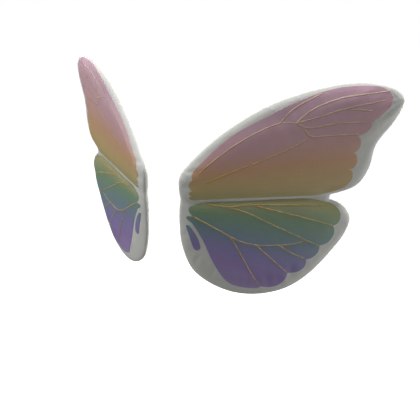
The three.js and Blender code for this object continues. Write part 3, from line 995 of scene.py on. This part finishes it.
@dataclass
class WingTrim:
    """The film panels, veins and stitching of a wing, laid on its cover in the plane of the wing.

    Attributes:
        cover: what they are laid on.
        outline_step: how far apart a panel outline's samples are.
        grid: how far apart the points inside a panel are.
        film_lift: the film's gap from the cover.
        film_thickness: its thickness.
        film_corner: the sharpest turn, in degrees, that its shading smooths over.
        vein_step: how far apart a vein's samples are.
        vein_taper: how much thinner a vein is at its outer end.
        stitch_reach: half a stitch's length.
        stitch_radius: its thread's radius.
        stitch_tuck: how far its ends go down, as a share of that radius.
        stitch_slant: how far a whipstitch leans along the seam for each step across it.
        edge_pitch: how far apart the stitches over the edge are.
        waist_pitch: how far apart the stitches along the waist are.
    """

    cover: WingCover
    outline_step: float = 1.5 * MM
    grid: float = 4 * MM
    film_lift: float = 0.15 * MM
    film_thickness: float = 0.25 * MM
    film_corner: float = 50.0
    vein_step: float = 2 * MM
    vein_taper: float = 0.4
    stitch_reach: float = 1.5 * MM
    stitch_radius: float = 0.32 * MM
    stitch_tuck: float = 0.9
    stitch_slant: float = 0.5
    edge_pitch: float = 5 * MM
    waist_pitch: float = 4.4 * MM

    def film(self, name: str, runs: Sequence[Run], face: Face) -> bpy.types.Object:
        """Cuts a film panel and bonds it to the cover.

        Args:
            name: the panel's name.
            runs: its cutting pattern.
            face: the face it lies on.

        Returns:
            The panel, in the plane of the wing.
        """
        obj = cut_sheet(name, closed_outline(runs, self.outline_step), self.grid)
        if face is Face.REAR:
            obj.data.flip_normals()
        places = places_of(obj.data)
        for i, (x, _, z) in enumerate(places):
            places[i] = self.cover.on_face(x, z, face)[0]
        places[:, 1] += face.value * self.film_lift
        move_to(obj.data, places)
        finish_with(obj, "SOLIDIFY", thickness=self.film_thickness, offset=1.0)
        obj.data.shade_smooth()
        only(obj)
        bpy.ops.object.shade_smooth_by_angle(angle=math.radians(self.film_corner))
        return obj

    def veins(
        self, name: str, runs: Sequence[Run], face: Face, radius: float, flatness: float
    ) -> bpy.types.Object:
        """Couches flat braids on the film along the veins.

        Args:
            name: the piece's name.
            runs: the veins' centre lines, from the root outwards.
            face: the face they lie on.
            radius: a braid's half width at the root.
            flatness: its thickness as a share of its width.

        Returns:
            The braids as one mesh, in the plane of the wing.
        """
        curve = bpy.data.curves.new(name, "CURVE")
        curve.dimensions = "3D"
        curve.bevel_depth = radius
        curve.bevel_resolution = 2
        curve.use_fill_caps = True
        lift = self.film_lift + self.film_thickness
        for run in runs:
            line = smooth_run(run, self.vein_step)
            spline = curve.splines.new("POLY")
            spline.points.add(len(line) - 1)
            for i, (point, place) in enumerate(zip(spline.points, line)):
                on, _ = self.cover.on_face(place.x, place.y, face)
                point.co = (on.x, on.y + face.value * lift, on.z, 1.0)
                point.radius = 1.0 - self.vein_taper * i / len(line)
        obj = bpy.data.objects.new(name, curve)
        bpy.context.scene.collection.objects.link(obj)
        only(obj)
        bpy.ops.object.convert(target="MESH")
        places = places_of(obj.data)
        for i, (x, y, z) in enumerate(places):
            bed = self.cover.on_face(x, z, face)[0].y + face.value * lift
            places[i, 1] = bed + flatness * (y - bed)
        move_to(obj.data, places)
        obj.data.shade_smooth()
        return obj

    def _stitch(self) -> bpy.types.Mesh:
        """One stitch: a short thread along X that arches up and tucks its ends in."""
        bpy.ops.object.select_all(action="DESELECT")
        bpy.ops.mesh.primitive_uv_sphere_add(segments=6, ring_count=6, radius=1)
        obj = bpy.context.active_object
        bpy.ops.object.mode_set(mode="EDIT")
        bpy.ops.transform.rotate(value=math.pi / 2, orient_axis="Y", center_override=(0, 0, 0))
        bpy.ops.transform.resize(value=(self.stitch_reach, self.stitch_radius, self.stitch_radius))
        bpy.ops.object.mode_set(mode="OBJECT")
        mesh = obj.data
        places = places_of(mesh)
        places[:, 2] -= self.stitch_tuck * self.stitch_radius * (places[:, 0] / self.stitch_reach) ** 2
        move_to(mesh, places)
        bpy.data.objects.remove(obj)
        return mesh

    @staticmethod
    def _along(line: Sequence[Vector], pitch: float) -> list[tuple[Vector, Vector]]:
        """Evenly spaced places on a line, each with the line's direction there."""
        found, gone, due = [], 0.0, pitch / 2
        for a, b in zip(line, line[1:]):
            length = (b - a).length
            while length > 0 and gone + length >= due:
                found.append((a.lerp(b, (due - gone) / length), (b - a).normalized()))
                due += pitch
            gone += length
        return found

    @staticmethod
    def _set_at(place: Vector, along: Vector, up: Vector) -> Matrix:
        """A stitch's place from its middle, its direction and the way it stands up."""
        side = up.cross(along).normalized()
        return Matrix.Translation(place) @ Matrix((along, side, along.cross(side))).transposed().to_4x4()

    def edge_stitches(self, name: str) -> bpy.types.Object:
        """Whipstitches over the seam that joins the two halves of the cover."""
        line = closed_outline((FOREWING_EDGE, HINDWING_EDGE), self.cover.step)
        places = []
        for place, along in self._along([*line, line[0]], self.edge_pitch):
            outward = Vector((-along.y, 0, along.x))
            slanted = (Vector((along.x, 0, along.y)) * self.stitch_slant + Vector((0, 1, 0))).normalized()
            on, _, _, _ = self.cover.surface.find_nearest(Vector((place.x, 0, place.y)) + outward * MM)
            places.append(self._set_at(on, slanted, outward))
        return strewn(name, self._stitch(), places)

    def waist_stitches(self, name: str, face: Face) -> bpy.types.Object:
        """A row of running stitches along the waist seam."""
        places = []
        for place, along in self._along(smooth_run(WAIST, self.cover.step), self.waist_pitch)[1:-1]:
            on, normal = self.cover.on_face(place.x, place.y, face)
            run = Vector((along.x, 0, along.y))
            places.append(self._set_at(on, (run - run.dot(normal) * normal).normalized(), normal))
        return strewn(name, self._stitch(), places)


@dataclass
class Wing:
    """One padded wing on its hinge: every soft piece, and the CAD pieces inside it."""

    side: Side
    trim: WingTrim

    @property
    def body(self) -> str:
        """The CAD body that the wing rides on."""
        return f"{self.side.word}_wing"

    @property
    def place(self) -> Matrix:
        """The wing's place on its hinge, swept back as the hinge is at rest."""
        joint = next(j for j in frame["joints"] if j["child"] == self.body)
        sweep = -math.radians(joint["range_deg"][0])
        turn = Matrix.Rotation(self.side.value * sweep, 4, "Z")
        return Matrix.Translation(joint["pos_m"]) @ turn @ Matrix.Diagonal((self.side.value, 1, 1, 1))

    def set_on_hinge(
        self, obj: bpy.types.Object, name: str, finish: Finish, slot: str, *stands_for: str
    ) -> bpy.types.Object:
        """Copies a piece from the plane of the wing to its place on this wing.

        Args:
            obj: the piece in the plane of the wing.
            name: the piece's name without its side.
            finish: what it is made of.
            slot: the record's material slot. Not used.
            stands_for: CAD nodes that it replaces, without their side.

        Returns:
            The piece on this wing.
        """
        mesh = obj.data.copy()
        mesh.name = f"{self.side.word}_{name}"
        self._map_plane(mesh)
        mesh.transform(self.place)
        if self.side is Side.RIGHT:
            mesh.flip_normals()
        mesh.materials.clear()
        mesh.materials.append(finish.material())
        made = linked(mesh.name, mesh)
        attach(made, self.body)
        if stands_for:
            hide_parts(*(f"{self.side.word}_{node}" for node in stands_for))
        LOG.info("%s: %d faces", made.name, len(mesh.polygons))
        return made

    @staticmethod
    def _map_plane(mesh: bpy.types.Mesh) -> None:
        """Gives each corner its place in the plane of the wing, from 0 to 1 over the plane's span."""
        places = places_of(mesh)
        layer = mesh.uv_layers.new(name=PLANE_MAP)
        corners = np.zeros(len(mesh.loops), np.int32)
        mesh.loops.foreach_get("vertex_index", corners)
        flat = places[corners][:, [0, 2]] / PLANE_SPAN + (0, 0.5)
        layer.uv.foreach_set("vector", flat.astype(np.float32).ravel())

    def dress_frame(self) -> None:
        """Gives the CAD's wires and hinge leaf their finishes."""
        for name, finish in (
            ("forewing_wire", SPRING_STEEL), ("hindwing_wire", SPRING_STEEL), ("hinge_leaf", CLEAR_PLASTIC),
        ):
            dress_node(f"{self.side.word}_{name}", finish)


def dress_node(name: str, finish: Finish) -> None:
    """Gives a CAD node its finish.

    Args:
        name: the node's name.
        finish: what it is made of.
    """
    for held in frame["nodes"][name].material_slots:
        held.material = finish.material()
    LOG.info("%s: %s", name, finish.name)


class Panel(Enum):
    """The film panels, each with its name, its cutting pattern and its material slot."""

    FOREWING = ("forewing_panel", FOREWING_PANEL, "sunset_film")
    HINDWING = ("hindwing_panel", HINDWING_PANEL, "lagoon_film")
    SPOT = ("spot_panel", SPOT_PANEL, "violet_film")


@dataclass
class FairyWings:
    """The whole object: both wings, sewn from one set of patterns, and the yoke between them.

    Attributes:
        cover: the wings' cover.
        gold_radius: the half width of the hindwing's gold veins.
        gold_flatness: their thickness as a share of their width.
        rose_radius: the half width of the forewing's veins.
        rose_flatness: their thickness as a share of their width.
    """

    cover: WingCover = field(default_factory=WingCover)
    gold_radius: float = 1.15 * MM
    gold_flatness: float = 0.6
    rose_radius: float = 1.5 * MM
    rose_flatness: float = 0.12

    def build(self) -> None:
        """Makes every piece, one wing's pattern pieces being used for both."""
        self.cover.build()
        trim = WingTrim(self.cover)
        wings = [Wing(side, trim) for side in Side]
        for wing in wings:
            whole = wing.set_on_hinge(
                self.cover.obj, "padded_cover", PEARL_SATIN, "pearl_cover", "front_cover", "rear_cover"
            )
            wing.dress_frame()
        core = FoamCore(self.cover)
        from_left = wings[0].place.inverted()
        for name in ("forewing_pad", "hindwing_pad"):
            cut = core.build(frame["nodes"][f"left_{name}"], from_left)
            for wing in wings:
                wing.set_on_hinge(cut, f"{name}_foam", WHITE_FOAM, "foam", name)
            bpy.data.objects.remove(cut)
        edge = trim.edge_stitches("edge_stitches")
        self._lay_on_both(wings, edge, "edge_stitches", SATIN_THREAD, "pearl_cover")
        for face in Face:
            self._lay_face(wings, trim, face)
        bpy.data.objects.remove(self.cover.obj)
        for name in ("yoke", "left_hinge_pin", "left_pin_cap", "right_hinge_pin", "right_pin_cap"):
            dress_node(name, CLEAR_PLASTIC)

    def _lay_face(self, wings: Sequence[Wing], trim: WingTrim, face: Face) -> None:
        """Makes one face's panels, veins and waist stitches, for both wings."""
        for panel in Panel:
            name, runs, slot = panel.value
            flat = trim.film(name, runs, face)
            for made in self._lay_on_both(wings, flat, f"{face.word}_{name}", RAINBOW_FILM, slot, True):
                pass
        waist = trim.waist_stitches("waist_stitches", face)
        self._lay_on_both(wings, waist, f"{face.word}_waist_stitches", SATIN_THREAD, "pearl_cover")
        gold = trim.veins("hindwing_veins", HINDWING_VEINS, face, self.gold_radius, self.gold_flatness)
        self._lay_on_both(wings, gold, f"{face.word}_hindwing_veins", GOLD_BRAID, "gold_cord", True)
        rose = trim.veins("forewing_veins", FOREWING_VEINS, face, self.rose_radius, self.rose_flatness)
        self._lay_on_both(wings, rose, f"{face.word}_forewing_veins", ROSE_BRAID, "blush_cord", True)

    @staticmethod
    def _lay_on_both(
        wings: Sequence[Wing],
        obj: bpy.types.Object,
        name: str,
        finish: Finish,
        slot: str,
        replaces: bool = False,
    ) -> list[bpy.types.Object]:
        """Sets a piece on each wing and removes the pattern piece.

        Args:
            wings: the two wings.
            obj: the piece in the plane of the wing.
            name: the piece's name without its side.
            finish: what it is made of.
            slot: the record's material slot.
            replaces: whether it stands for the CAD node of the same name.

        Returns:
            The two pieces.
        """
        stands_for = (name,) if replaces else ()
        named = f"{name}_film" if finish is RAINBOW_FILM else f"{name}_sewn"
        made = [wing.set_on_hinge(obj, named, finish, slot, *stands_for) for wing in wings]
        bpy.data.objects.remove(obj)
        return made


# ---- Studio ----


@dataclass(frozen=True)
class Lamp:
    """One soft white studio light, aimed at the wings and out of the camera's sight."""

    name: str
    place: Place
    size: float
    power: float

    def build(self, aim: Vector) -> None:
        """Hangs the light.

        Args:
            aim: where it points.
        """
        light = bpy.data.lights.new(self.name, "AREA")
        light.shape = "DISK"
        light.size = self.size
        light.energy = self.power
        obj = bpy.data.objects.new(self.name, light)
        obj.location = self.place
        obj.rotation_euler = (aim - Vector(self.place)).to_track_quat("-Z", "Y").to_euler()
        obj.visible_camera = False
        bpy.context.scene.collection.objects.link(obj)


@dataclass(frozen=True)
class FloorFinish(Finish):
    """A plain pale studio floor, painted a little uneven and lit to the white of the backdrop."""

    def dress(self, sheet: Sheet, shader: bpy.types.Node) -> None:
        """Adds the paint's unevenness and its own light."""
        place = sheet.add("TexCoord").outputs["Object"]
        paint = Effects.place(sheet, "mottle", Vector=place, Scale=2.0, Tint=self.tint, Shade=self.shade)
        sheet.feed(shader.inputs["Base Color"], paint.outputs["Color"])
        shader.inputs["Roughness"].default_value = self.roughness
        shader.inputs["Emission Color"].default_value = (1.0, 1.0, 1.0, 1.0)
        shader.inputs["Emission Strength"].default_value = 1.0


STUDIO_PAINT = FloorFinish("studio_paint", (0.93, 0.93, 0.93), (0.9, 0.9, 0.9), 0.8)


@dataclass
class Studio:
    """A plain pale floor, soft light, and the camera.

    Attributes:
        aim: what the camera and the lamps point at.
        azimuth: how far the camera stands round to the wearer's left, in degrees.
        elevation: how far above the aim it looks from, in degrees.
        distance: its distance from the aim.
        lens: its focal length, in millimetres.
        sensor: its sensor's width, in millimetres.
        floor_drop: how far the floor is below the wings. The low fill lights stand above it.
        floor_size: the floor's side.
        floor_cells: how many squares it has along a side.
        daylight: the room's even light.
        lamps: the studio lights.
    """

    aim: Vector = field(default_factory=lambda: Vector((0.0657, 0.0405, -0.0200)))
    azimuth: float = 33.53
    elevation: float = 21.10
    distance: float = 0.930
    lens: float = 53.15
    sensor: float = 36.0
    floor_drop: float = 1.25
    floor_size: float = 30.0
    floor_cells: int = 8
    daylight: float = 0.03
    lamps: Sequence[Lamp] = (
        Lamp("overhead_softbox", (0.02, 0.35, 2.45), 1.5, 128.0),
        Lamp("back_softbox", (0.52, 2.19, 0.00), 0.9, 42.0),
        Lamp("right_back_softbox", (1.97, 1.14, 0.10), 0.9, 22.0),
        Lamp("left_fill", (-1.83, -0.97, 0.25), 0.8, 22.5),
        Lamp("right_fill", (1.64, -1.19, -0.95), 0.7, 10.5),
    )

    def build(self) -> None:
        """Sets up the floor, the lights, the daylight and the camera."""
        self._lay_floor()
        for lamp in self.lamps:
            lamp.build(self.aim)
        self._light_room()
        self._set_camera()
        bpy.context.scene.view_settings.view_transform = "Standard"

    def _lay_floor(self) -> None:
        """Lays the floor below the wings. It sends no light back up to them."""
        bpy.ops.object.select_all(action="DESELECT")
        drop = CAD_BOX[0].z - self.floor_drop
        bpy.ops.mesh.primitive_grid_add(
            x_subdivisions=self.floor_cells, y_subdivisions=self.floor_cells, size=self.floor_size
        )
        floor = bpy.context.active_object
        floor.name = "studio_floor"
        floor.data.transform(Matrix.Translation((0, 0, drop)))
        floor.data.materials.append(STUDIO_PAINT.material())
        floor.visible_diffuse = False
        floor.visible_glossy = False

    def _light_room(self) -> None:
        """Fills the room with even daylight, in front of a white backdrop."""
        world = bpy.data.worlds.new("studio_room")
        bpy.context.scene.world = world
        world.use_nodes = True
        sheet = Sheet(world.node_tree)
        even = world.node_tree.nodes["Background"]
        even.inputs["Color"].default_value = (1.0, 1.0, 1.0, 1.0)
        even.inputs["Strength"].default_value = self.daylight
        backdrop = sheet.add("Background", {"Color": (1.0, 1.0, 1.0), "Strength": 1.0})
        seen = sheet.add("LightPath").outputs["Is Camera Ray"]
        mixed = sheet.add("MixShader", {0: seen, 1: even.outputs[0], 2: backdrop.outputs[0]})
        sheet.feed(world.node_tree.nodes["World Output"].inputs["Surface"], mixed.outputs[0])

    def _set_camera(self) -> None:
        """Places the camera at the front, to the wearer's left and a little above."""
        camera = bpy.data.cameras.new("camera")
        camera.lens = self.lens
        camera.sensor_width = self.sensor
        obj = bpy.data.objects.new("camera", camera)
        turn, rise = math.radians(self.azimuth), math.radians(self.elevation)
        back = Vector((math.sin(turn) * math.cos(rise), -math.cos(turn) * math.cos(rise), math.sin(rise)))
        obj.location = self.aim + back * self.distance
        obj.rotation_euler = (-back).to_track_quat("-Z", "Y").to_euler()
        bpy.context.scene.collection.objects.link(obj)
        bpy.context.scene.camera = obj


def main() -> None:
    """Builds the wings, then the studio round them."""
    logging.basicConfig(level=logging.INFO, format="%(name)s: %(message)s")
    FairyWings().build()
    Studio().build()


if __name__ == "__main__":
    main()
